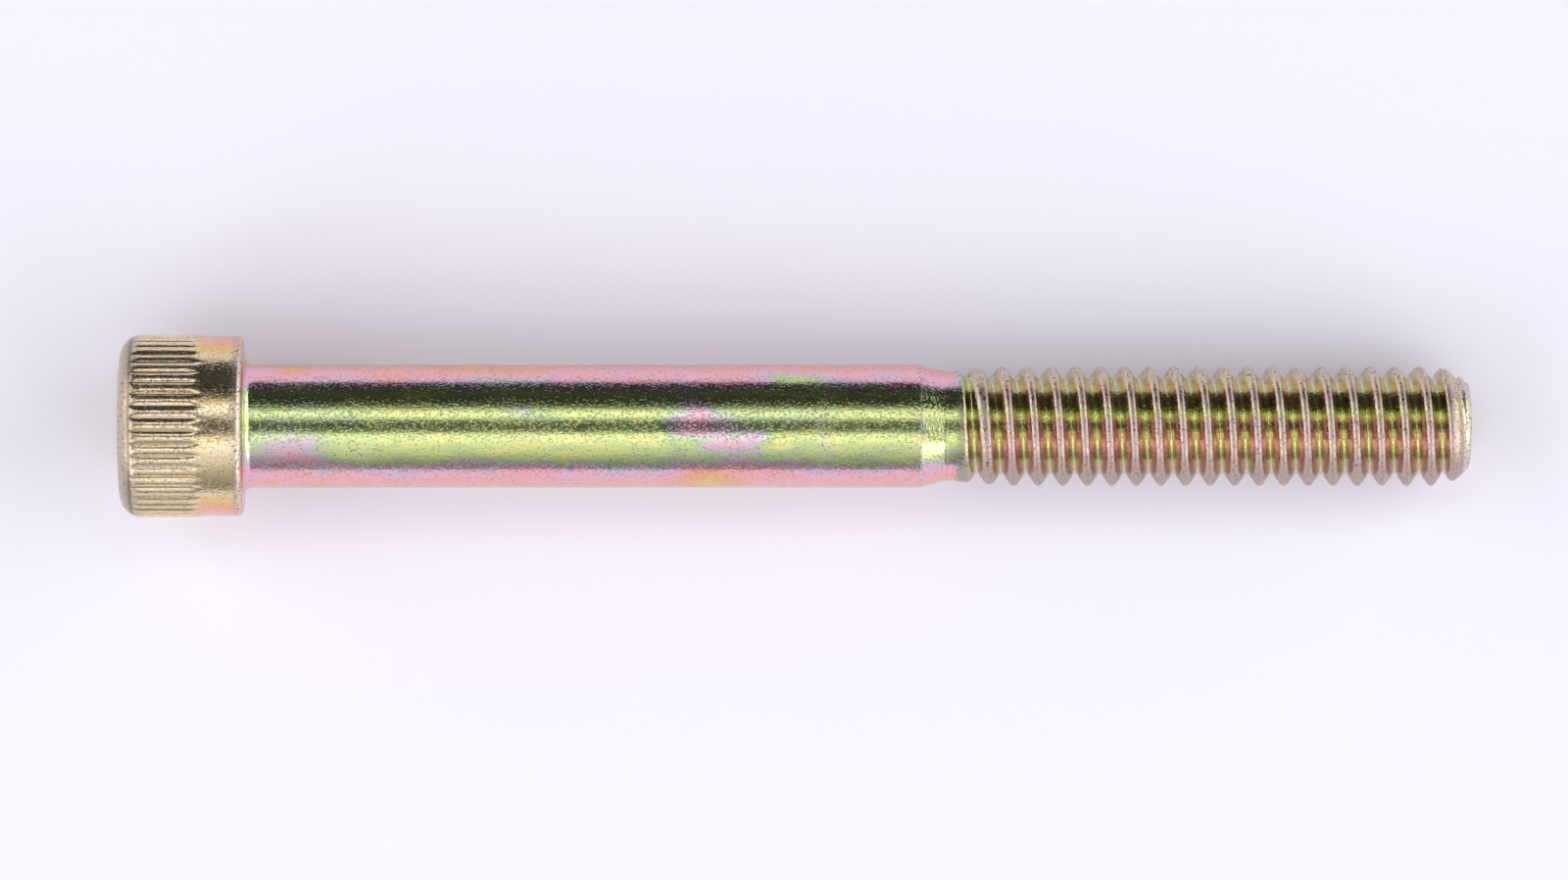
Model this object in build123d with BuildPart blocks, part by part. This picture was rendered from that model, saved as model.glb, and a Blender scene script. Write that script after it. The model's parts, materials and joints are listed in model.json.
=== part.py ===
from build123d import *
from math import atan2, ceil, cos, degrees, radians, sin, tan
import os

# Socket head cap screw with a 1/4 in coarse thread, cold headed from wire: its
# socket is punched, the side of its head knurled, and its thread rolled on the
# thinner neck. Sizes are in millimetres and angles in degrees.
#
# The screw is drawn upright. The bearing face under the head lies on XY with
# its centre at the origin, the head is below it and the shank runs up +Z. The
# last block lays the screw on its side, as it comes to rest on a flat surface.

# Shank
screw_length = 63.2  # bearing face to the end of the point
body_diameter = 6.33
body_length = 34.85
neck_diameter = 5.65  # the blank that the thread is rolled on
neck_taper_length = 0.95
neck_length = 1.1
underhead_fillet = 0.55

# Head
head_diameter = 9.27  # over the smooth band beside the bearing face
head_height = 6.35
head_top_radius = 1.15
head_bearing_bevel = 0.3

# Straight knurl round the head, from the smooth band to the rounded top edge
knurl_count = 45
knurl_first_angle = -4.8  # first groove, from the screw's upper side at rest
knurl_setback = 2.0  # bearing face to knurl
knurl_top_margin = 0.1  # knurl to the start of the rounded top edge
knurl_rise = 0.06  # ridges above the smooth band
knurl_depth = 0.17
knurl_groove_width = 0.42
knurl_run_out = 0.3  # length over which a groove's floor rises at each end

# Hexagon socket
socket_across_flats = 4.78
socket_depth = 3.1  # along the flats
socket_turn = 30  # two of the flats face up and down at rest
socket_bottom_angle = 140  # cone that the punch leaves
socket_lead_in = 0.2  # round bevel outside the hexagon's corners

# Thread, right hand
thread_pitch = 1.27
thread_diameter = 6.2  # over the rolled crests
thread_root_diameter = 4.9
thread_angle = 60  # between flanks
thread_crest_width = 0.26
thread_crest_lead_in = 1.6  # length over which the crests rise from the neck
thread_root_offset = 0.6  # end of the neck to the first root of full depth

# Point
point_length = 1.6
point_diameter = 5.2
point_edge_bevel = 0.4

cutter_margin = 0.08  # how far a cutter stands past the surface that it cuts

# Sizes that follow
head_radius = head_diameter / 2
knurl_radius = head_radius + knurl_rise
body_radius = body_diameter / 2
bearing_width = head_radius - head_bearing_bevel - body_radius
neck_radius = neck_diameter / 2
crest_radius = thread_diameter / 2
root_radius = thread_root_diameter / 2
knurl_start = -knurl_setback
knurl_end = -head_height + head_top_radius + knurl_top_margin
neck_start = body_length + neck_taper_length
neck_end = neck_start + neck_length
point_start = screw_length - point_length


# Blank: the turned outline of the whole screw, with its edges rounded
with BuildPart() as blank:
    with BuildSketch(Plane.XZ):
        with BuildLine():
            Polyline(
                (0, -head_height),
                (knurl_radius, -head_height),
                (knurl_radius, knurl_start - knurl_run_out),
                (head_radius, knurl_start),
                (head_radius, 0),
                (body_radius, 0),
                (body_radius, body_length),
                (neck_radius, neck_start),
                (neck_radius, neck_end),
                (crest_radius, neck_end + thread_crest_lead_in),
                (crest_radius, point_start),
                (point_diameter / 2, screw_length),
                (0, screw_length),
                close=True,
            )
        make_face()
    revolve(axis=Axis.Z)
    rims = blank.edges().filter_by(GeomType.CIRCLE)
    bearing_rims = rims.filter_by_position(Axis.Z, 0, 0).sort_by(SortBy.RADIUS)
    fillet(rims.sort_by(Axis.Z)[0], head_top_radius)
    fillet(bearing_rims[0], min(underhead_fillet, bearing_width / 2))
    chamfer(bearing_rims[-1], head_bearing_bevel)
    chamfer(rims.sort_by(Axis.Z)[-1], point_edge_bevel)


# Cutter for one groove of the knurl, on the +X side: a trapezoid seen from the
# side, whose floor is shorter than its mouth. The taper brings the floor up to
# the ridges at half the groove's width, so the groove is a V from the end.
groove_half_width = knurl_groove_width / 2
groove_taper = degrees(atan2(knurl_depth, groove_half_width))
floor_radius = knurl_radius - knurl_depth
mouth_radius = knurl_radius + 2 * knurl_depth
mouth_overhang = knurl_run_out * (mouth_radius - floor_radius) / knurl_depth
with BuildPart() as knurl_groove:
    with BuildSketch(Plane.XZ):
        with BuildLine():
            Polyline(
                (floor_radius, knurl_end + knurl_run_out),
                (floor_radius, knurl_start - knurl_run_out),
                (mouth_radius, knurl_start - knurl_run_out + mouth_overhang),
                (mouth_radius, knurl_end + knurl_run_out - mouth_overhang),
                close=True,
            )
        make_face()
    extrude(amount=groove_half_width, both=True, taper=groove_taper)


# Cutter for the socket: six flats, the punch's cone beyond them, and a round
# bevel at the mouth that is as deep as it is wide
flat_radius = socket_across_flats / 2
corner_radius = flat_radius / cos(radians(30))
socket_floor = -head_height + socket_depth
socket_middle = -head_height + socket_depth / 2
cone_height = flat_radius / tan(radians(socket_bottom_angle / 2))
bevel_radius = corner_radius + socket_lead_in
with BuildPart() as socket:
    with BuildSketch(Plane.XY.offset(-head_height)):
        RegularPolygon(
            radius=flat_radius, side_count=6, major_radius=False, rotation=socket_turn
        )
    extrude(amount=socket_depth)
    with BuildSketch(Plane.XZ):
        with BuildLine():
            Polyline(
                (0, socket_middle),
                (flat_radius, socket_middle),
                (flat_radius, socket_floor),
                (0, socket_floor + cone_height),
                close=True,
            )
        make_face()
        with BuildLine():
            Polyline(
                (0, -head_height - cutter_margin),
                (bevel_radius + cutter_margin, -head_height - cutter_margin),
                (0, -head_height + bevel_radius),
                close=True,
            )
        make_face()
    revolve(axis=Axis.Z)


# Thread groove: flanks at half the thread's angle and a flat root
half_angle_slope = tan(radians(thread_angle / 2))
flank_height = crest_radius - root_radius
groove_height = flank_height + cutter_margin
root_width = thread_pitch - thread_crest_width - 2 * flank_height * half_angle_slope
mouth_width = root_width + 2 * groove_height * half_angle_slope
first_root = neck_end + thread_root_offset
turn_count = ceil((screw_length + mouth_width - first_root) / thread_pitch)


def groove_turn(start_radius, end_radius):
    """One right-hand turn of the thread groove, rising one pitch from XY, with its root going from
    one radius to the other. It starts and ends on the +X side."""
    with BuildPart() as turn:
        with BuildLine() as root_path:
            Helix(
                pitch=thread_pitch,
                height=thread_pitch,
                radius=start_radius,
                cone_angle=degrees(atan2(end_radius - start_radius, thread_pitch)),
            )
        with BuildSketch(Plane.XZ):
            with BuildLine():
                Polyline(
                    (start_radius, -root_width / 2),
                    (start_radius + groove_height, -mouth_width / 2),
                    (start_radius + groove_height, mouth_width / 2),
                    (start_radius, root_width / 2),
                    close=True,
                )
            make_face()
        sweep(path=root_path.line, is_frenet=True)
    return turn.part


full_turn = groove_turn(root_radius, root_radius)
run_out_turn = groove_turn(crest_radius, root_radius)


# The screw upright: the blank, knurled, punched and threaded. The thread's
# groove comes down to its full depth over one turn beside the neck.
with BuildPart() as upright_screw:
    add(blank.part)
    with PolarLocations(0, knurl_count, start_angle=knurl_first_angle):
        add(knurl_groove.part, mode=Mode.SUBTRACT)
    add(socket.part, mode=Mode.SUBTRACT)
    with Locations(*[(0, 0, first_root + turn * thread_pitch) for turn in range(turn_count)]):
        add(full_turn, mode=Mode.SUBTRACT)
    with Locations((0, 0, first_root - thread_pitch)):
        add(run_out_turn, mode=Mode.SUBTRACT)


# The screw at rest: it lies on the knurl and on the last crests before the
# point, so its axis runs along +X and dips towards the point
rest_angle = atan2(knurl_radius - crest_radius, point_start - knurl_start + knurl_run_out)
resting_plane = Plane(
    origin=(0, 0, 0),
    x_dir=(sin(rest_angle), 0, cos(rest_angle)),
    z_dir=(cos(rest_angle), 0, -sin(rest_angle)),
)
with BuildPart(resting_plane) as cap_screw:
    add(upright_screw.part)

os.makedirs("parts", exist_ok=True)
cap_screw.part.label = "cap_screw"
export_step(cap_screw.part, "parts/cap_screw.step")
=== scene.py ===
"""Socket head cap screw in yellow zinc: the finish of its surfaces, and the stage that it lies on."""

import json
from math import atan2, cos, hypot, pi, radians, sin, tan

import bpy
import numpy as np
from bpy.props import FloatProperty, FloatVectorProperty, IntProperty, PointerProperty
from bpy.types import Operator, Panel, PropertyGroup
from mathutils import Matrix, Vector


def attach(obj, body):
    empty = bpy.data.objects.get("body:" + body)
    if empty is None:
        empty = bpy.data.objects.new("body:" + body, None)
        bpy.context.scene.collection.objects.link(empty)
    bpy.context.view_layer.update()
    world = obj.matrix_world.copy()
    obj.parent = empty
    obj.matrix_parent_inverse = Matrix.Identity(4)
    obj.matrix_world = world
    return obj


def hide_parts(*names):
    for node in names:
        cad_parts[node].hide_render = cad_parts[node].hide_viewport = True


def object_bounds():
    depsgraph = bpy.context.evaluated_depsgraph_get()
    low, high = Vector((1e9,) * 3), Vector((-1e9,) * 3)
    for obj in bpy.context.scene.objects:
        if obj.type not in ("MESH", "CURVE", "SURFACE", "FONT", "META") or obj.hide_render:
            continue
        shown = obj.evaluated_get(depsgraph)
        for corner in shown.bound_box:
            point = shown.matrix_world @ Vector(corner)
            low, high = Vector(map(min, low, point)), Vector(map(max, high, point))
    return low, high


bl_info = {
    "name": "Plated Cap Screw",
    "version": (1, 0, 0),
    "blender": (4, 5, 0),
    "location": "View3D > Sidebar > Cap Screw",
    "description": "Socket head cap screw in yellow zinc with a knurled head and a rolled thread",
    "category": "Add Mesh",
}

MM = 0.001

# Fineness of the mesh
COLUMNS_PER_GROOVE = 10  # of the knurl, and as many round the socket
SHANK_COLUMNS = 160  # round the shank and the thread
THREAD_ROWS = 17  # from one root line to the next
MERGE_DISTANCE = 0.0004 * MM  # points nearer than this are one point

# The rolled crests rise and fall by this height, in waves of these rates and phases
CREST_UNEVENNESS = 0.006 * MM
CREST_WAVES = ((41.3, 0.0), (67.9, 1.3), (113.1, 4.1))
POINT_ROUNDING = 0.05 * MM  # between the point's taper and the bevel at its end
LEAST_ROUNDING = 0.01 * MM  # of the thread where it has no crests

# Where the finish changes
KNURL_ON_EDGE = 0.6 * MM  # how far from the head's end the knurl's painted groove shade and wear start
HEAD_END_RADIUS = 3.2 * MM  # the head's end counts as its edge from this radius
PAST_FILLET = 1 * MM  # places further than this past the shank's radius are on the head

# The stage, in metres
FLOOR_HALF_WIDTH = 3.0
PANEL_DISTANCE = 0.6  # from the screw's axis
PANEL_FADE = 0.08  # length over which a panel's glow falls past its middle part
SENSOR_WIDTH_MM = 36.0
VIEW_SIDE = -0.72 * MM  # the camera's centre line, from the screw's axis

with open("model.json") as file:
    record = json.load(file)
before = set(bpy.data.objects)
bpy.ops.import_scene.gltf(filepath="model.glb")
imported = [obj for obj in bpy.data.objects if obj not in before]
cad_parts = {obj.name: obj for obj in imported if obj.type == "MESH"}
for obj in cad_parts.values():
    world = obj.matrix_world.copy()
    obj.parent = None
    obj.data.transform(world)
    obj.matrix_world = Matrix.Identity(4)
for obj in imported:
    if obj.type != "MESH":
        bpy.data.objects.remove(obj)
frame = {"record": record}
cad_low, cad_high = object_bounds()
mounts = {mount["name"]: mount for mount in frame["record"]["mounts"]}
axis_x, _, axis_z = mounts["bearing_face"]["axis"]
DIP = atan2(-axis_z, axis_x)  # the screw's axis dips towards the point by this much


def linear(hex_colour):
    """Linear RGB of an sRGB hex colour."""
    shares = [int(hex_colour[i : i + 2], 16) / 255 for i in (0, 2, 4)]
    return [s / 12.92 if s <= 0.04045 else ((s + 0.055) / 1.055) ** 2.4 for s in shares]


def length_property(name, description, default):
    """A length, kept in metres."""
    return FloatProperty(
        name=name, description=description, default=default, min=0, precision=5, unit="LENGTH"
    )


def angle_property(name, description, default):
    """An angle, given in degrees and kept in radians."""
    return FloatProperty(
        name=name, description=description, default=radians(default), subtype="ANGLE"
    )


def colour_property(name, description, hex_colour):
    """A colour, given as sRGB hex and kept linear."""
    return FloatVectorProperty(
        name=name, description=description, default=linear(hex_colour), subtype="COLOR", min=0, max=1
    )


class CapScrewSizes(PropertyGroup):
    """Real sizes of the screw"""

    screw_length: length_property("Length", "Bearing face to the end of the point", 63.2 * MM)
    head_height: length_property(
        "Head height", "Bearing face to the end of the head", hypot(*mounts["hexagon_socket"]["pos_m"])
    )
    knurl_radius: length_property("Knurl radius", "Axis to the tops of the knurl's ridges", cad_high.y)
    head_radius: length_property("Head radius", "Radius of the smooth band of the head", 4.635 * MM)
    head_top_radius: length_property("Head edge", "Rounding of the head's outer edge", 1.15 * MM)
    bearing_edge_radius: length_property("Bearing edge", "Rounding of the bearing face's rim", 0.3 * MM)
    knurl_count: IntProperty(name="Knurl grooves", description="Grooves round the head", default=45, min=3)
    knurl_turn: angle_property("Knurl turn", "Place of the first groove, from the top of the screw", -4.8)
    knurl_setback: length_property("Knurl setback", "Bearing face to the knurl", 2.0 * MM)
    knurl_run_out: length_property("Knurl run-out", "Length over which the grooves fade", 0.5 * MM)
    knurl_depth: length_property("Knurl depth", "Depth of the grooves", 0.12 * MM)
    knurl_groove_width: length_property("Knurl groove", "Width of the grooves", 0.64 * MM)
    socket_across_flats: length_property("Key size", "Socket across its flats", 4.78 * MM)
    socket_depth: length_property(
        "Socket depth", "Depth of the socket's flats", mounts["hexagon_socket"]["dims"]["length_mm"] * MM
    )
    socket_bottom_angle: angle_property("Socket bottom", "Cone that the punch leaves", 140)
    socket_lead_in: length_property("Socket lead-in", "Round bevel outside the socket's corners", 0.2 * MM)
    body_radius: length_property("Shank radius", "Radius of the shank", mounts["shank"]["dims"]["r_mm"] * MM)
    body_length: length_property("Shank length", "Bearing face to the end of the plain shank", 34.85 * MM)
    underhead_fillet: length_property("Fillet", "Fillet between the head and the shank", 0.55 * MM)
    neck_radius: length_property("Neck radius", "Radius of the neck that the thread is rolled on", 2.825 * MM)
    neck_start: length_property("Neck start", "Bearing face to the neck", 36.1 * MM)
    neck_end: length_property("Neck end", "Bearing face to the rising crests", 36.5 * MM)
    shoulder_rounding: length_property("Shoulder", "Rounding where the shank tapers to the neck", 0.9 * MM)
    thread_pitch: length_property("Pitch", "One turn of the thread", 1.27 * MM)
    thread_angle: angle_property("Thread angle", "Angle between the flanks", 60)
    crest_radius: length_property(
        "Crest radius", "Radius over the crests", mounts["thread"]["dims"]["r_mm"] * MM
    )
    root_radius: length_property("Root radius", "Radius at the thread's root", 2.45 * MM)
    crest_lead_in: length_property("Crest lead-in", "Length over which the crests rise", 2.7 * MM)
    first_root: length_property("First root", "Bearing face to the first root of full depth", 37.5 * MM)
    root_rounding: length_property(
        "Root rounding", "Height that the rounded root takes off a sharp V", 0.225 * MM
    )
    crest_rounding: length_property("Crest rounding", "Rounding of the crests' edges", 0.08 * MM)
    point_length: length_property("Point length", "Length of the tapered point", 1.6 * MM)
    point_radius: length_property("Point radius", "Radius that the point tapers to", 2.6 * MM)
    point_edge_bevel: length_property("Point edge", "Bevel round the end of the point", 0.4 * MM)


class CapScrewFinish(PropertyGroup):
    """Colours and gloss of the plating"""

    bare_zinc: colour_property("Bare zinc", "Zinc where the yellow film has worn off", "DCCFC4")
    # This dark brown darkens pits and dirt, and is also the painted shade in the knurl's grooves and on the
    # thread's flanks
    grime_and_shade: colour_property("Grime", "Dirt in pits and grooves", "40332A")
    gloss_roughness: FloatProperty(
        name="Bright roughness", description="Roughness of the bright plating", default=0.14, min=0, max=1
    )
    worn_roughness: FloatProperty(
        name="Worn roughness", description="Roughness of worn edges and crests", default=0.5, min=0, max=1
    )
    grain_height: length_property("Grain", "Height of the plating's grain", 0.005 * MM)


class CapScrewStage(PropertyGroup):
    """Floor, lights and camera"""

    floor_colour: colour_property("Floor", "Pale floor", "F1EFF9")
    backdrop_colour: colour_property("Backdrop", "What is seen past the floor", "EFEDF7")
    view_centre: length_property("View centre", "Distance of the camera's centre line along +X", 27.85 * MM)
    view_width: length_property("View width", "Width of the view at the screw's axis", 80.8 * MM)
    camera_height: length_property("Camera height", "Height of the camera over the screw", 0.45)


def place_on_screw(along, turn, radius):
    """Points in the part's frame from cylindrical places on the screw. along is the distance from the
    bearing face towards the point, and turn the angle as a share of a full turn, from the upper side
    towards -Y. The screw's frame is turned about Y by its dip."""
    angle = 2 * pi * turn
    up, side = radius * np.cos(angle), -radius * np.sin(angle)
    return np.stack(
        [along * cos(DIP) + up * sin(DIP), side, up * cos(DIP) - along * sin(DIP)], axis=-1
    )


def place_from_point(points):
    """The opposite of place_on_screw: distance along the axis, turn and radius of each point."""
    x, y, z = points.T
    along = x * cos(DIP) - z * sin(DIP)
    up = x * sin(DIP) + z * cos(DIP)
    return along, np.arctan2(-y, up) / (2 * pi), np.hypot(y, up)


def smooth_step(value, start, end):
    """0 before start, 1 after end, and three times the square less twice the cube of the share between."""
    share = np.clip((value - start) / (end - start), 0, 1)
    return share * share * (3 - 2 * share)


def bell(value, centre, width):
    """1 at the centre, falling as exp of minus the square of the distance in widths."""
    return np.exp(-(((value - centre) / width) ** 2))


def rounded_least(a, b, rounding):
    """The lesser of two radii with the corner between them rounded: minus the rounding times the
    logarithm of exp(-a / rounding) + exp(-b / rounding)."""
    return -rounding * np.logaddexp(-a / rounding, -b / rounding)


def rounded_outline(corners, steps=8, spacing=0.7 * MM):
    """Rows (along, radius) of an outline. Each corner is (along, radius, rounding). A rounded corner
    becomes an arc of the given steps, tangent to its two sides, and a straight side is divided so that
    no row is further than the spacing from the next."""
    points = np.array([corner[:2] for corner in corners])
    pieces = [points[:1]]
    for before, here, after, (_, _, rounding) in zip(points, points[1:], points[2:], corners[1:-1]):
        into = (here - before) / np.hypot(*(here - before))
        out = (after - here) / np.hypot(*(after - here))
        turn = np.arctan2(into[0] * out[1] - into[1] * out[0], into @ out)
        if rounding == 0:
            pieces.append(here[None])
            continue
        tangent = rounding * tan(abs(turn) / 2)
        start = here - into * tangent
        swept = np.linspace(0, abs(turn), steps + 1)[:, None]
        normal = np.array([-into[1], into[0]]) * np.sign(turn)
        pieces.append(start + rounding * (np.sin(swept) * into + (1 - np.cos(swept)) * normal))
    pieces.append(points[-1:])
    path = np.concatenate(pieces)
    reach = np.concatenate([[0], np.cumsum(np.hypot(*np.diff(path, axis=0).T))])
    extra = [
        np.linspace(a, b, int(np.ceil((b - a) / spacing)) + 1)[1:-1] for a, b in zip(reach, reach[1:])
    ]
    reach_all = np.sort(np.concatenate([reach, *extra]))
    return np.stack([np.interp(reach_all, reach, path[:, i]) for i in (0, 1)], axis=-1)


class MeshBuilder:
    """Gathers grids of points into one mesh. Points that coincide are merged when it is made."""

    def __init__(self):
        self.points, self.faces, self.flat, self.count = [], [], [], 0

    def add_grid(self, grid, flat=False):
        """Adds the quads of a grid of points, rows along the axis by columns round it. Its columns run
        from turn 0 to turn 1, both included. Faces point away from the axis where the rows run towards
        the point, and to the axis where they run the other way."""
        rows, columns = grid.shape[:2]
        index = self.count + np.arange(rows * columns).reshape(rows, columns)
        quads = np.stack([index[:-1, :-1], index[:-1, 1:], index[1:, 1:], index[1:, :-1]], axis=-1)
        self._add(grid.reshape(-1, 3), quads.reshape(-1, 4), flat)

    def add_belt(self, first, second):
        """Adds triangles between two closed rings with different numbers of points. Each side of one
        ring is joined to the point of the other ring that is nearest to the side's middle."""
        middle = [(np.arange(len(ring) - 1) + 0.5) / (len(ring) - 1) for ring in (first, second)]
        near_second = np.searchsorted(middle[1], middle[0])
        near_first = np.searchsorted(middle[0], middle[1], side="right")
        i, j = np.arange(len(first) - 1), np.arange(len(second) - 1)
        start_first, start_second = self.count, self.count + len(first)
        fans = np.concatenate([
            np.stack([start_first + i, start_first + i + 1, start_second + near_second], axis=-1),
            np.stack([start_second + j, start_first + near_first, start_second + j + 1], axis=-1),
        ])
        self._add(np.concatenate([first, second]), fans, False)

    def _add(self, points, faces, flat):
        self.points.append(points)
        self.faces += faces.tolist()
        self.flat += [flat] * len(faces)
        self.count += len(points)

    def make(self, name):
        """The mesh, with coinciding points merged and the faces that this shrinks to a line left out."""
        points = np.concatenate(self.points)
        grid = np.round(points / MERGE_DISTANCE).astype(np.int64)
        _, first, merged = np.unique(grid, axis=0, return_index=True, return_inverse=True)
        merged = merged.reshape(-1)
        faces, flat = [], []
        for face, is_flat in zip(self.faces, self.flat):
            corners = list(dict.fromkeys(merged[face].tolist()))
            if len(corners) > 2:
                faces.append(corners)
                flat.append(is_flat)
        mesh = bpy.data.meshes.new(name)
        mesh.from_pydata(points[first], [], faces)
        mesh.polygons.foreach_set("use_smooth", ~np.array(flat))
        mesh.validate()
        mesh.update()
        return mesh


def mesh_points(mesh):
    """The mesh's points, one a row."""
    points = np.empty(len(mesh.vertices) * 3)
    mesh.vertices.foreach_get("co", points)
    return points.reshape(-1, 3)


def columns(count, first_turn=0.0):
    """Turns of the columns of a closed ring, the first one repeated at the end."""
    return first_turn + np.arange(count + 1) / count


def head_turns(sizes):
    """Columns round the head and its socket, from the middle of the knurl's first groove."""
    return columns(sizes.knurl_count * COLUMNS_PER_GROOVE, sizes.knurl_turn / (2 * pi))


def socket_mouth(sizes):
    """Radius of the socket's mouth: the hexagon's corners and the lead-in outside them."""
    return sizes.socket_across_flats / (2 * cos(pi / 6)) + sizes.socket_lead_in


def knurl_radius(sizes, along, turn):
    """Radius of the knurl's ridges. Across a groove the depth is the square of the share left to its
    edge, so the ridges are round and the grooves narrow. The grooves fade towards the smooth band over
    the run-out, and each has a slightly different depth."""
    grooves = (turn - sizes.knurl_turn / (2 * pi)) * sizes.knurl_count + 0.5
    across = (grooves % 1 - 0.5) * 2 * pi * sizes.knurl_radius / sizes.knurl_count
    wave = np.clip(1 - np.abs(across) / (sizes.knurl_groove_width / 2), 0, 1) ** 2
    number = np.floor(grooves).astype(int) % sizes.knurl_count
    uneven = np.random.default_rng(5).uniform(0.8, 1.15, sizes.knurl_count)[number]
    end = -sizes.knurl_setback
    fade = 1 - smooth_step(along, end - sizes.knurl_run_out * uneven, end)
    return sizes.knurl_radius - sizes.knurl_depth * uneven * wave * fade


def add_head(builder, sizes):
    """The head outside: its end, the rounded edge, the knurl, the smooth band and the rim. The outline
    is turned round the axis, and where a groove is lower than the outline, the groove is taken."""
    turns = head_turns(sizes)
    end, knurl_end = -sizes.head_height, -sizes.knurl_setback
    outline = rounded_outline([
        (end, socket_mouth(sizes), 0),
        (end, sizes.knurl_radius, sizes.head_top_radius),
        (knurl_end - sizes.knurl_run_out, sizes.knurl_radius, 0),
        (knurl_end, sizes.head_radius, 0),
        (0, sizes.head_radius, sizes.bearing_edge_radius),
        (0, sizes.body_radius + sizes.underhead_fillet, 0),
    ], steps=10, spacing=0.35 * MM)
    along, radius = np.repeat(outline[:, :1], len(turns), 1), np.repeat(outline[:, 1:], len(turns), 1)
    on_side = (radius > sizes.head_radius - sizes.head_top_radius) & (along < knurl_end)
    radius = np.where(on_side, np.minimum(radius, knurl_radius(sizes, along, turns)), radius)
    builder.add_grid(place_on_screw(along, turns, radius))
    return place_on_screw(along[-1], turns, radius[-1])


def add_socket(builder, sizes):
    """The hexagon socket. The radius of a hexagon is its half width across flats over the cosine of
    the angle from the middle of the flat. The lead-in is a cone, so it dips into each flat in an arc."""
    turns = head_turns(sizes)
    half = sizes.socket_across_flats / 2
    from_flat = ((turns * 6 + 0.5) % 1 - 0.5) * pi / 3
    hexagon = half / np.cos(from_flat)
    mouth = socket_mouth(sizes)
    end = -sizes.head_height
    floor = end + sizes.socket_depth
    edge = place_on_screw(end + mouth - hexagon, turns, hexagon)
    foot = place_on_screw(floor, turns, hexagon)
    builder.add_grid(np.stack([edge, place_on_screw(end, turns, mouth)]))
    builder.add_grid(np.stack([foot, edge]), flat=True)
    shares = np.linspace(0, 1, 6)[:, None]
    cone = place_on_screw(
        floor + (1 - shares) * half / tan(sizes.socket_bottom_angle / 2), turns, half * shares
    )
    builder.add_grid(np.concatenate([cone, foot[None]]))


def blank_radius(sizes, along):
    """Radius of the thread's blank: the neck, the rise to the crests and the tapered point."""
    rise = np.clip((along - sizes.neck_end) / sizes.crest_lead_in, 0, 1)
    neck = sizes.neck_radius + (sizes.crest_radius - sizes.neck_radius) * rise
    past = along - (sizes.screw_length - sizes.point_length)
    taper = (sizes.crest_radius - sizes.point_radius) / sizes.point_length
    point = sizes.crest_radius - taper * past
    edge = sizes.point_radius - sizes.point_edge_bevel + (sizes.screw_length - along)
    return np.minimum(neck, rounded_least(point, edge, POINT_ROUNDING))


def threaded_radius(sizes, along, turn):
    """Radius of the rolled thread. The distance to a root line runs along the axis, and the groove's
    section is a hyperbola whose arms are the flanks: the root's radius less the rounding, plus the root
    of the squares of the rounding and of the distance over the tangent of half the thread's angle.
    A groove comes down to its full depth over one turn. The crest is the blank, rounded into the two
    grooves beside it, and is a little uneven."""
    slope = tan(sizes.thread_angle / 2)
    pitches = (along - sizes.first_root) / sizes.thread_pitch - turn
    number = np.floor(pitches + 1e-9)  # a place on a root line belongs to that groove
    flanks = []
    for groove in (number, number + 1):
        distance = (pitches - groove) * sizes.thread_pitch
        run_out = np.clip(-(groove + turn), 0, 1)
        root = sizes.root_radius + (sizes.crest_radius - sizes.root_radius) * run_out
        flanks.append(root - sizes.root_rounding + np.hypot(distance / slope, sizes.root_rounding))
    wound = pitches + turn
    uneven = sum(np.sin(wound * rate + phase) for rate, phase in CREST_WAVES)
    crest = blank_radius(sizes, along) - CREST_UNEVENNESS * (1 + uneven / len(CREST_WAVES))
    groove = rounded_least(*flanks, sizes.crest_rounding)
    return rounded_least(crest, groove, sizes.crest_rounding * (along > sizes.neck_end) + LEAST_ROUNDING)


def add_shank(builder, sizes, turns):
    """The fillet under the head, the plain shank, and the shoulder that tapers to the neck."""
    outline = rounded_outline([
        (0, sizes.body_radius + sizes.underhead_fillet, 0),
        (0, sizes.body_radius, sizes.underhead_fillet * 0.999),
        (sizes.body_length, sizes.body_radius, sizes.shoulder_rounding),
        (sizes.neck_start, sizes.neck_radius, sizes.shoulder_rounding),
        (sizes.first_root - sizes.thread_pitch, sizes.neck_radius, 0),
    ])
    last = threaded_radius(sizes, outline[-1, 0], turns)
    radius = np.repeat(outline[:, 1:], len(turns), 1)
    radius[-1] = last
    builder.add_grid(place_on_screw(outline[:, :1], turns, radius))
    return place_on_screw(outline[0, 0], turns, radius[0])


def add_thread(builder, sizes, turns):
    """The thread is one long strip between each root line and the next. A root line is at the first
    root plus the pitch times the turns wound. The strip is clipped between a ring on the neck and a
    ring on the point, and its rows are closest at the roots and crests."""
    ring_start = sizes.first_root - sizes.thread_pitch
    ring_count = int((sizes.screw_length - sizes.point_edge_bevel / 2 - ring_start) / sizes.thread_pitch)
    ring_end = ring_start + ring_count * sizes.thread_pitch
    per_turn = len(turns) - 1
    wound = -1 + np.arange((ring_count + 1) * per_turn + 1) / per_turn
    upper = np.minimum(sizes.first_root + sizes.thread_pitch * wound, ring_end)
    lower = np.maximum(sizes.first_root + sizes.thread_pitch * (wound - 1), ring_start)
    share = np.linspace(0, 1, THREAD_ROWS)[:, None]
    share = share - 0.6 * np.sin(4 * pi * share) / (4 * pi)
    along = lower + (upper - lower) * share
    turn = np.round(wound * per_turn) % per_turn / per_turn
    radius = threaded_radius(sizes, along, turn)
    builder.add_grid(place_on_screw(along, turn, radius))
    return ring_end


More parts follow.
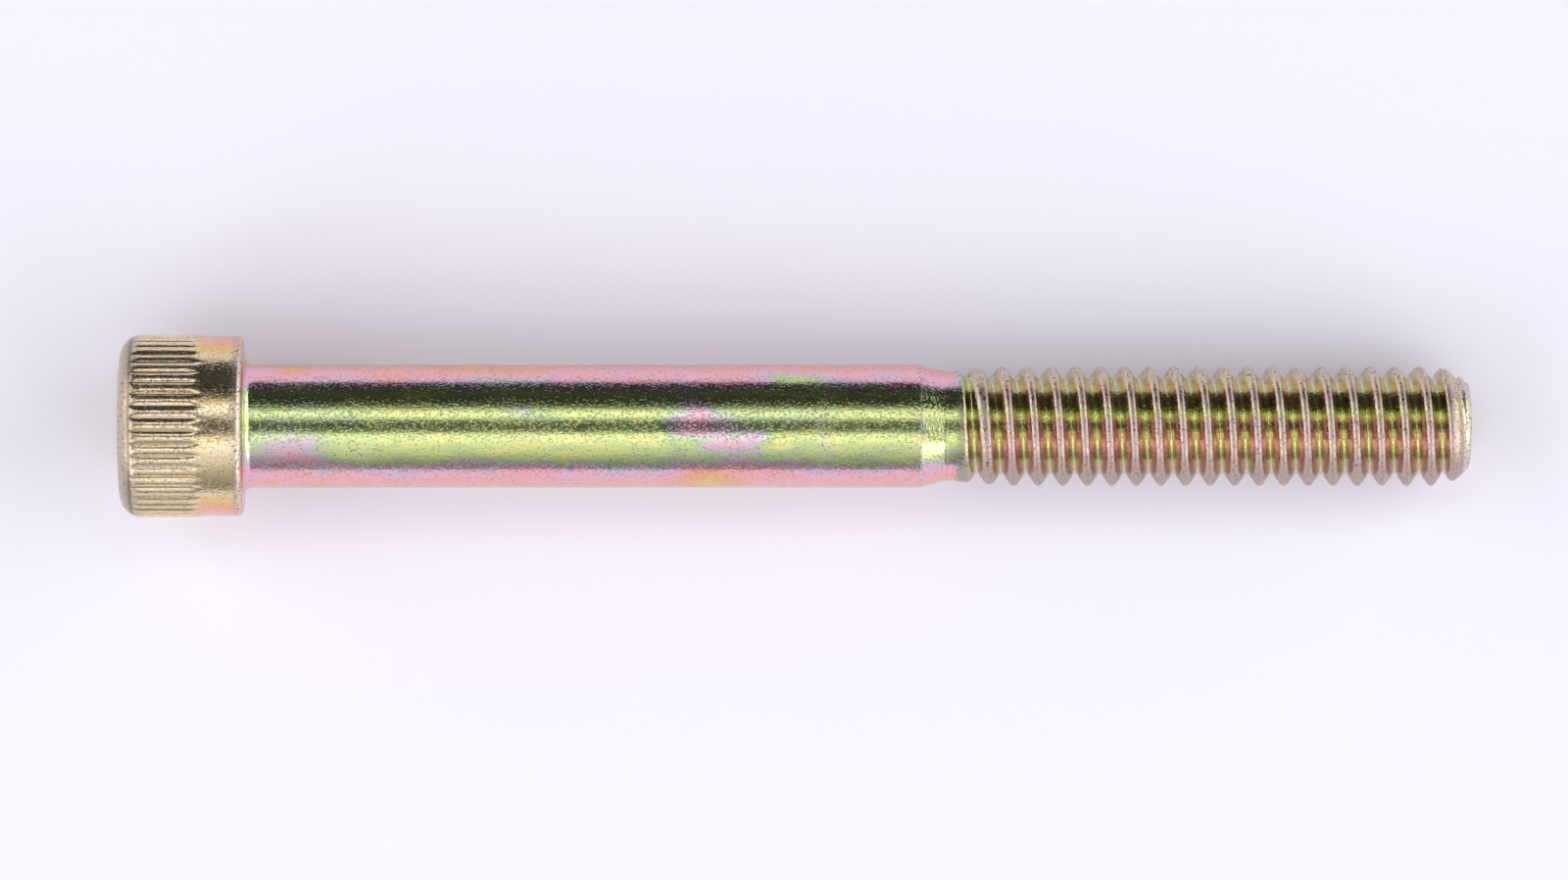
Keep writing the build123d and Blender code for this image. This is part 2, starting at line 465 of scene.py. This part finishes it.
def add_point(builder, sizes, turns, ring_end):
    """The end of the point: the edge past the thread's last ring, and the flat end face."""
    steps = np.linspace(0, 1, 7)[:, None]
    along = ring_end + (sizes.screw_length - ring_end) * steps
    radius = threaded_radius(sizes, along, turns)
    face = radius[-1] * np.array([0.8, 0.4, 0])[:, None]
    builder.add_grid(place_on_screw(along, turns, radius))
    builder.add_grid(place_on_screw(sizes.screw_length, turns, np.concatenate([radius[-1:], face])))


# Patches of the shank where the film is thicker (+) or thinner (-) than around them. Each is: distance
# along, sine of the angle from the top towards the near side, half length, half width, change of order.
FILM_PATCHES = (
    (2.0 * MM, 0.30, 1.8 * MM, 0.28, -0.20),
    (3.4 * MM, 0.52, 1.3 * MM, 0.12, -0.10),
    (1.5 * MM, -0.30, 2.4 * MM, 0.30, -0.05),
    (2.6 * MM, -0.86, 0.9 * MM, 0.12, -0.12),
    (8.2 * MM, -0.78, 1.2 * MM, 0.14, -0.12),
    (12.0 * MM, -0.95, 2.6 * MM, 0.08, -0.12),
    (23.4 * MM, -0.10, 1.5 * MM, 0.30, -0.19),
    (25.2 * MM, 0.36, 1.8 * MM, 0.26, -0.21),
    (27.4 * MM, 0.34, 0.9 * MM, 0.08, 0.20),
    (24.0 * MM, 0.85, 1.5 * MM, 0.16, -0.20),
    (28.4 * MM, -0.76, 1.6 * MM, 0.07, 0.16),
    (16.0 * MM, 0.45, 3.4 * MM, 0.20, 0.05),
    (36.6 * MM, 0.0, 0.9 * MM, 0.50, -0.03),
)

# Smears where the film has been rubbed thin and whitish, given in the same way
SMEARS = (
    (5.8 * MM, 0.45, 1.2 * MM, 0.16, 0.35),
    (4.2 * MM, 0.70, 1.6 * MM, 0.08, 0.25),
    (29.9 * MM, 0.10, 0.22 * MM, 0.60, 0.35),
    (23.2 * MM, 0.45, 0.5 * MM, 0.18, 0.25),
    (34.2 * MM, 0.35, 0.3 * MM, 0.25, 0.25),
)


def patches(table, along, near):
    """The sum of the table's bells at each place."""
    return sum(
        change * bell(along, place, length) * bell(near, side, width)
        for place, side, length, width, change in table
    )


def film_and_sheen_order(sizes, along, turn, radius):
    """How far the film's colour has run through its orders at each place, with a painted sheen down the
    sides: the colour there is set by the angle from the top, as the film looks when seen at a slant
    from above. The head's film is thin and straw coloured, painted rosier down the sides, most on the
    smooth band. The shank's is thicker: yellow green on top, painted rose and orange down the sides.
    In the thread the roots are coloured as the shank is, painted a little further on at the sides, and
    the film grows thicker up the flanks, through yellow to orange, a little yellower far down the far
    side. A band a little to the far side of the top keeps the roots' yellow green up the flanks, as a
    painted glint where the strip light's reflections fall."""
    near = np.sin(2 * pi * turn)
    side = np.abs(near)
    on_head = 1 - smooth_step(along, -0.1 * MM, 0.1 * MM)
    on_band = smooth_step(along, -2.4 * MM, -2.0 * MM)
    in_thread = smooth_step(along, sizes.neck_end, sizes.neck_end + 1.2 * MM)
    # painted sheen: the head's sides turn rosier, most on the smooth band
    head = 0.15 + (0.01 + 0.23 * on_band) * smooth_step(side, 0.75, 0.95)
    # painted sheen: the shank turns rose and orange down the sides, by the angle from the top
    shank = 0.745 - 0.2 * smooth_step(side, 0.5, 0.7) - 0.12 * smooth_step(side, 0.72, 1.0)
    shank += patches(FILM_PATCHES, along, near)
    flank = smooth_step(radius, sizes.root_radius, sizes.root_radius + 0.09 * MM)
    flank_order = 0.96 - 0.05 * smooth_step(-near, 0.5, 0.7)
    # painted glint: a band a little to the far side of the top keeps the roots' yellow green up the flanks,
    # where the strip light's glints fall
    flank *= 1 - 0.6 * bell(near, -0.27, 0.12)
    # painted sheen: the roots run a little further through the orders at the sides
    root = shank + 0.06 * smooth_step(side, 0.55, 0.75)
    thread = root + (flank_order - root) * flank
    return on_head * head + (1 - on_head) * ((1 - in_thread) * shank + in_thread * thread)


def film_drift(sizes, along, turn, radius):
    """How strongly the film's colour drifts from place to place: fully on the shank, less on the head
    and on the thread."""
    on_shank = smooth_step(along, -0.1 * MM, 0.1 * MM) * (1 - smooth_step(along, 36.6 * MM, 37 * MM))
    return 0.4 + 0.6 * on_shank


def on_knurl(sizes, along):
    """Whether each place is on the knurl, which begins part way up the head's rounded edge."""
    return (along < -sizes.knurl_setback) & (along > -sizes.head_height + KNURL_ON_EDGE)


def wear(sizes, along, turn, radius):
    """How much of the bright film gives way to grey zinc: rubbed off at the crests, the knurl's ridges, the
    bearing face's rim, the head's outer edge, the shoulder, the point and a few smears on the shank, and
    greyed down the thread's flanks at both sides, as seen from above."""
    near = np.sin(2 * pi * turn)
    depth = sizes.knurl_radius - radius
    ridge = 1 - smooth_step(depth, 0.2 * sizes.knurl_depth, 0.7 * sizes.knurl_depth)
    ridge = on_knurl(sizes, along) * ridge
    in_thread = smooth_step(along, sizes.neck_end, sizes.neck_end + 0.3 * MM)
    crest_radius = blank_radius(sizes, along)
    crest = smooth_step(radius, crest_radius - 0.1 * MM, crest_radius - 0.06 * MM)
    crest *= smooth_step(radius, sizes.neck_radius, sizes.neck_radius + 0.06 * MM)
    # the thread's flanks down both sides, as seen from above, are greyed as well
    crest += 0.8 * smooth_step(np.abs(near), 0.82, 0.94) * (radius > sizes.root_radius + 0.1 * MM)
    point = smooth_step(along, sizes.screw_length - 1.0 * MM, sizes.screw_length - 0.6 * MM)
    rim = bell(along, -0.16 * MM, 0.18 * MM) * (radius > sizes.body_radius + PAST_FILLET)
    head_end = 1 - smooth_step(along, -sizes.head_height + 0.3 * MM, -sizes.head_height + 1.3 * MM)
    head_end *= smooth_step(radius, HEAD_END_RADIUS, HEAD_END_RADIUS + 0.4 * MM)
    shoulder = 0.55 * bell(along, sizes.body_length, 0.09 * MM)
    rubbed = in_thread * crest + 0.2 * ridge + 0.7 * point + 0.9 * rim + 0.6 * head_end + shoulder
    return np.clip(rubbed + patches(SMEARS, along, near), 0, 1)


def grime_and_shade(sizes, along, turn, radius):
    """Painted shade in the bottoms of the knurl's grooves and on the thread's flanks, with less of it far
    down the far side; a darker band along the head's rounded edge; and dirt beside the bearing face's rim."""
    depth = sizes.knurl_radius - radius
    # painted shade in the bottoms of the knurl's grooves
    groove = smooth_step(depth, 0.8 * sizes.knurl_depth, 1.15 * sizes.knurl_depth)
    # painted shade on the thread's flanks
    flank = smooth_step(radius, sizes.root_radius + 0.03 * MM, sizes.root_radius + 0.12 * MM)
    flank *= smooth_step(along, sizes.neck_end, sizes.neck_end + 0.4 * MM)
    flank *= 1 - 0.7 * smooth_step(-np.sin(2 * pi * turn), 0.55, 0.68)
    beside_rim = bell(along, -0.36 * MM, 0.07 * MM) * (radius > sizes.body_radius + PAST_FILLET)
    # a darker band along the head's rounded edge
    end_edge = bell(along, 0.5 * MM - sizes.head_height, 0.45 * MM) * (radius > HEAD_END_RADIUS)
    return np.where(on_knurl(sizes, along), groove, 0.75 * flank + 0.6 * beside_rim) + 0.9 * end_edge


def store(mesh, name, values):
    """Stores one number for each point of the mesh."""
    mesh.attributes.new(name, "FLOAT", "POINT").data.foreach_set("value", values.astype(np.float32))


def add_node(tree, kind, inputs=(), **settings):
    """Adds a node. settings are its properties, and inputs gives each socket, by name or number,
    a value or the output that it is linked to."""
    node = tree.nodes.new(kind)
    for name, value in settings.items():
        setattr(node, name, value)
    for socket, value in dict(inputs).items():
        if isinstance(value, bpy.types.NodeSocket):
            tree.links.new(value, node.inputs[socket])
        else:
            node.inputs[socket].default_value = value
    return node


def new_material(name):
    """A material with only an output node, and that node."""
    material = bpy.data.materials.new(name)
    material.use_nodes = True
    material.node_tree.nodes.clear()
    return material, material.node_tree.nodes.new("ShaderNodeOutputMaterial")


# Colours that the film runs through as it grows thicker
FILM_COLOURS = (
    (0.00, "D9CDC0"),
    (0.12, "E9D7B8"),
    (0.24, "E3C67C"),
    (0.34, "E8B088"),
    (0.44, "EDB2AA"),
    (0.52, "EBB6C2"),
    (0.60, "CFBFCB"),
    (0.67, "BCD0A0"),
    (0.76, "CDDA92"),
    (0.86, "E4E09C"),
    (0.95, "EAC3A6"),
    (1.00, "E9B4BF"),
)


def make_yellow_zinc(sizes, finish):
    """Yellow chromate film over bright zinc plating on steel. The plating is a fine-grained mirror that
    breaks reflections into specks at their edges. The film is thin enough to give interference colours
    that drift from gold through rose and green in soft patches a few millimetres long, and it is
    rubbed dull and grey where the part has touched others. Its colour also carries a painted sheen
    down the sides and a painted glint band on the thread, and it is darkened towards dark brown in
    pits, in dirt and in the painted shade of the knurl's grooves and the thread's flanks."""
    material, output = new_material("yellow_zinc_plated_steel")
    tree = material.node_tree
    place = add_node(tree, "ShaderNodeTexCoord").outputs["Object"]

    def pattern(along, across, **settings):
        """Noise in the screw's own frame whose grains have the given length and width."""
        mapped = add_node(
            tree, "ShaderNodeMapping", {"Vector": place, "Rotation": (0, -DIP, 0)}, vector_type="POINT"
        )
        scaled = add_node(
            tree, "ShaderNodeVectorMath", {0: mapped.outputs[0], 1: (1 / along, 1 / across, 1 / across)},
            operation="MULTIPLY",
        )
        return add_node(
            tree, "ShaderNodeTexNoise", {"Vector": scaled.outputs[0], "Scale": 1.0, **settings}
        ).outputs["Fac"]

    def calculate(operation, *values):
        return add_node(
            tree, "ShaderNodeMath", dict(enumerate(values)), operation=operation
        ).outputs[0]

    def remap(value, low, high, to_low=0.0, to_high=1.0, curve="SMOOTHSTEP"):
        return add_node(
            tree, "ShaderNodeMapRange", {0: value, 1: low, 2: high, 3: to_low, 4: to_high},
            interpolation_type=curve,
        ).outputs[0]

    film, drift, worn, dirt_and_shade = (
        add_node(tree, "ShaderNodeAttribute", attribute_name=name).outputs["Fac"]
        for name in ("film_and_sheen_order", "film_drift", "wear", "grime_and_shade")
    )
    clouds = pattern(2.6 * MM, 0.9 * MM, Detail=3.0, Roughness=0.6, Distortion=0.8)
    flecks = pattern(0.35 * MM, 0.14 * MM, Detail=2.0)
    change = calculate("MULTIPLY", remap(clouds, 0.25, 0.75, -0.12, 0.12, "LINEAR"), drift)
    order = calculate("ADD", film, change)
    order = calculate("ADD", order, remap(flecks, 0.3, 0.7, -0.03, 0.03, "LINEAR"))
    # the ramp paints the film's own colours, with the painted sheen down the sides and the painted glint band
    # on the thread
    ramp = add_node(tree, "ShaderNodeValToRGB", {0: order})
    stops = ramp.color_ramp.elements
    stops[0].position, stops[1].position = FILM_COLOURS[0][0], FILM_COLOURS[-1][0]
    for position, _ in FILM_COLOURS[1:-1]:
        stops.new(position)
    for stop, (_, colour) in zip(stops, FILM_COLOURS):
        stop.color = (*linear(colour), 1)

    scuffs = pattern(0.22 * MM, 0.22 * MM, Detail=3.0, Roughness=0.65)
    rubbed = calculate("MULTIPLY", worn, remap(scuffs, 0.3, 0.55))
    pits = pattern(0.15 * MM, 0.15 * MM, Detail=1.0)
    near_wear = calculate("MULTIPLY", remap(pits, 0.57, 0.66), remap(worn, 0.0, 0.5, 0.25, 0.7))
    # dark: pits beside worn places, the dirt, and the painted shade in the knurl's grooves and on the
    # thread's flanks
    dark = calculate("MAXIMUM", near_wear, calculate("MULTIPLY", dirt_and_shade, 0.5))
    zinc = add_node(
        tree, "ShaderNodeMix", {"Factor": rubbed, 6: ramp.outputs[0], 7: (*finish.bare_zinc, 1)},
        data_type="RGBA",
    ).outputs[2]
    colour = add_node(
        tree, "ShaderNodeMix", {"Factor": dark, 6: zinc, 7: (*finish.grime_and_shade, 1)}, data_type="RGBA"
    ).outputs[2]

    haze = pattern(1.6 * MM, 0.7 * MM, Detail=2.0)
    bright = remap(haze, 0.35, 0.7, finish.gloss_roughness - 0.04, finish.gloss_roughness + 0.04)
    roughness = add_node(
        tree, "ShaderNodeMix", {"Factor": rubbed, 2: bright, 3: finish.worn_roughness}
    ).outputs[0]
    specks = remap(pattern(0.17 * MM, 0.13 * MM, Detail=2.0, Roughness=0.6), 0.5, 0.72)
    grain = pattern(0.3 * MM, 0.12 * MM, Detail=1.0)
    height = calculate("ADD", specks, calculate("MULTIPLY", grain, 0.25))
    height = calculate("ADD", height, calculate("MULTIPLY", calculate("MULTIPLY", scuffs, worn), 1.5))
    height = calculate("SUBTRACT", height, calculate("MULTIPLY", dark, 2.5))
    bump = add_node(
        tree, "ShaderNodeBump", {"Height": height, "Distance": finish.grain_height, "Strength": 1.0}
    )
    shader = add_node(
        tree, "ShaderNodeBsdfPrincipled",
        {"Base Color": colour, "Metallic": 1.0, "Roughness": roughness, "Normal": bump.outputs[0]},
    )
    tree.links.new(shader.outputs[0], output.inputs["Surface"])
    return material


class CAPSCREW_OT_make_screw(Operator):
    """Make the plated cap screw: knurled head, socket, shank, neck and rolled thread in one piece"""

    bl_idname = "capscrew.make_screw"
    bl_label = "Cap Screw"

    def execute(self, context):
        sizes, finish = context.scene.cap_screw_sizes, context.scene.cap_screw_finish
        turns = columns(SHANK_COLUMNS)
        builder = MeshBuilder()
        head_ring = add_head(builder, sizes)
        add_socket(builder, sizes)
        shank_ring = add_shank(builder, sizes, turns)
        builder.add_belt(head_ring, shank_ring)
        ring_end = add_thread(builder, sizes, turns)
        add_point(builder, sizes, turns, ring_end)
        mesh = builder.make("plated_cap_screw")
        place = place_from_point(mesh_points(mesh))
        for measure in (film_and_sheen_order, film_drift, wear, grime_and_shade):
            store(mesh, measure.__name__, measure(sizes, *place))
        mesh.materials.append(make_yellow_zinc(sizes, finish))
        screw = bpy.data.objects.new("plated_cap_screw", mesh)
        context.scene.collection.objects.link(screw)
        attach(screw, "root")
        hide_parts("cap_screw")
        return {"FINISHED"}


# Curved panels round the screw's axis. Each has its half length, the half length of its middle part,
# the share of the glow that is left at its ends, and the glow of the middle at angles from the
# vertical, in degrees towards the far side.
PANELS = {
    "black_wall": (
        0.5, 0.2, 1.0,
        ((38, 0.1), (47, 0.04), (51, 0.03), (57, 0.05), (70, 0.06), (77, 0.04), (90, 0.04)),
    ),
    "far_strip": (
        0.4, 0.13, 0.7,
        ((8, 0.15), (12, 0.6), (17, 1.4), (22, 1.75), (28, 1.2), (33, 0.4), (38, 0.12)),
    ),
    "dark_gap": (0.4, 0.13, 1.0, ((-9, 0.2), (-3, 0.12), (3, 0.12), (8, 0.2))),
    "near_strip": (
        0.5, 0.13, 0.4,
        ((-36, 1.05), (-28, 1.35), (-20, 1.7), (-15, 1.2), (-12, 0.5), (-9, 0.15)),
    ),
    "grey_wall": (
        0.2, 0.13, 1.0,
        ((-90, 0.27), (-78, 0.31), (-64, 0.5), (-52, 0.78), (-36, 1.05)),
    ),
}

# Soft boxes, one of each at both ends of the screw: distance from the view's centre along X, Y, Z and
# radiance
SOFT_BOXES = {"near": (0.8, -0.5, 0.6, 1.65), "far": (0.9, 0.5, 0.5, 1.25)}
SOFT_BOX_SIZE = 1.0


def add_panel(scene, name, half_length, middle, end_share, profile):
    """A curved studio panel round the X axis. Its glow follows the profile of angles and values, and
    falls to the given share over the fade past its middle part."""
    angles, glows = np.array(profile).T
    angle = np.radians(angles)[:, None]
    fade_end = middle + PANEL_FADE
    along = np.array([-half_length, -fade_end, -middle, middle, fade_end, half_length])
    along = np.sort(np.clip(along, -half_length, half_length))
    centre = scene.cap_screw_stage.view_centre
    y, z = PANEL_DISTANCE * np.sin(angle), PANEL_DISTANCE * np.cos(angle)
    grid = np.stack(np.broadcast_arrays(along + centre, y, z), axis=-1)
    builder = MeshBuilder()
    builder.add_grid(grid[::-1])
    mesh = builder.make(name)
    x, y, z = mesh_points(mesh).T
    share = np.interp(np.abs(x - centre), [middle, fade_end], [1, end_share])
    store(mesh, "glow", share * np.interp(np.degrees(np.arctan2(y, z)), angles, glows))
    material, output = new_material(name)
    tree = material.node_tree
    strength = add_node(tree, "ShaderNodeAttribute", attribute_name="glow").outputs["Fac"]
    emission = add_node(tree, "ShaderNodeEmission", {"Strength": strength})
    tree.links.new(emission.outputs[0], output.inputs["Surface"])
    mesh.materials.append(material)
    panel = bpy.data.objects.new(name, mesh)
    panel.visible_camera = False
    scene.collection.objects.link(panel)


def add_soft_box(scene, name, place, radiance):
    """A square soft box at a place, turned to the screw. Its power is pi times its area and radiance."""
    light = bpy.data.lights.new(name, "AREA")
    light.shape, light.size = "SQUARE", SOFT_BOX_SIZE
    light.energy = radiance * pi * SOFT_BOX_SIZE * SOFT_BOX_SIZE
    box = bpy.data.objects.new(name, light)
    box.location = place
    box.rotation_euler = Vector(place).to_track_quat("Z", "Y").to_euler()
    box.visible_camera = False
    scene.collection.objects.link(box)


class CAPSCREW_OT_set_stage(Operator):
    """Set the stage: pale floor and backdrop, soft studio light and the camera over the screw"""

    bl_idname = "capscrew.set_stage"
    bl_label = "Stage"

    def execute(self, context):
        scene, stage = context.scene, context.scene.cap_screw_stage
        add_floor(scene, stage)
        add_lights(scene, stage)
        add_camera(scene, stage)
        return {"FINISHED"}


def add_floor(scene, stage):
    """A wide flat floor at the screw's lowest point, matt and pale."""
    sides = ((-1, -1), (1, -1), (1, 1), (-1, 1))
    corners = [(x * FLOOR_HALF_WIDTH, y * FLOOR_HALF_WIDTH, cad_low.z) for x, y in sides]
    mesh = bpy.data.meshes.new("floor")
    mesh.from_pydata(corners, [], [(0, 1, 2, 3)])
    material, output = new_material("matt_pale_board")
    tree = material.node_tree
    board = add_node(
        tree, "ShaderNodeBsdfDiffuse", {"Color": (*stage.floor_colour, 1), "Roughness": 0.0}
    )
    tree.links.new(board.outputs[0], output.inputs["Surface"])
    mesh.materials.append(material)
    floor = bpy.data.objects.new("floor", mesh)
    scene.collection.objects.link(floor)


def add_lights(scene, stage):
    """Curved panels along the screw, a soft box at each of the four corners, and a pale world."""
    for name, shape in PANELS.items():
        add_panel(scene, name, *shape)
    for end, side in (("left", -1), ("right", 1)):
        for row, (out, y, z, radiance) in SOFT_BOXES.items():
            place = (stage.view_centre + side * out, y, z)
            add_soft_box(scene, f"{row}_{end}_soft_box", place, radiance)
    world = bpy.data.worlds.new("pale_room")
    world.use_nodes = True
    scene.world = world
    background = world.node_tree.nodes["Background"]
    background.inputs["Color"].default_value = (*stage.backdrop_colour, 1)
    background.inputs["Strength"].default_value = 1.0


def add_camera(scene, stage):
    """A long lens looks straight down, with the screw's head to the left."""
    camera = bpy.data.cameras.new("camera")
    camera.sensor_width = SENSOR_WIDTH_MM
    camera.lens = SENSOR_WIDTH_MM * stage.camera_height / stage.view_width
    camera.clip_end = 20
    view = bpy.data.objects.new("camera", camera)
    view.location = (stage.view_centre, VIEW_SIDE, stage.camera_height)
    scene.collection.objects.link(view)
    scene.camera = view
    scene.view_settings.view_transform = "Standard"


class CAPSCREW_PT_panel(Panel):
    """Makes the screw and its stage, and shows their sizes and colours"""

    bl_idname = "CAPSCREW_PT_panel"
    bl_label = "Cap Screw"
    bl_space_type = "VIEW_3D"
    bl_region_type = "UI"
    bl_category = "Cap Screw"

    def draw(self, context):
        layout = self.layout
        for operator in OPERATORS:
            layout.operator(operator.bl_idname)
        for group in (
            context.scene.cap_screw_sizes, context.scene.cap_screw_finish, context.scene.cap_screw_stage
        ):
            box = layout.box()
            for name in group.bl_rna.properties.keys():
                if name not in ("rna_type", "name"):
                    box.prop(group, name)


GROUPS = {
    "cap_screw_sizes": CapScrewSizes,
    "cap_screw_finish": CapScrewFinish,
    "cap_screw_stage": CapScrewStage,
}
OPERATORS = (CAPSCREW_OT_make_screw, CAPSCREW_OT_set_stage)


def register():
    for group in (*GROUPS.values(), *OPERATORS, CAPSCREW_PT_panel):
        bpy.utils.register_class(group)
    for name, group in GROUPS.items():
        setattr(bpy.types.Scene, name, PointerProperty(type=group))


def unregister():
    for name in GROUPS:
        delattr(bpy.types.Scene, name)
    for group in reversed((*GROUPS.values(), *OPERATORS, CAPSCREW_PT_panel)):
        bpy.utils.unregister_class(group)


def main():
    """Makes everything in order."""
    register()
    bpy.ops.capscrew.make_screw()
    bpy.ops.capscrew.set_stage()


if __name__ == "__main__":
    main()
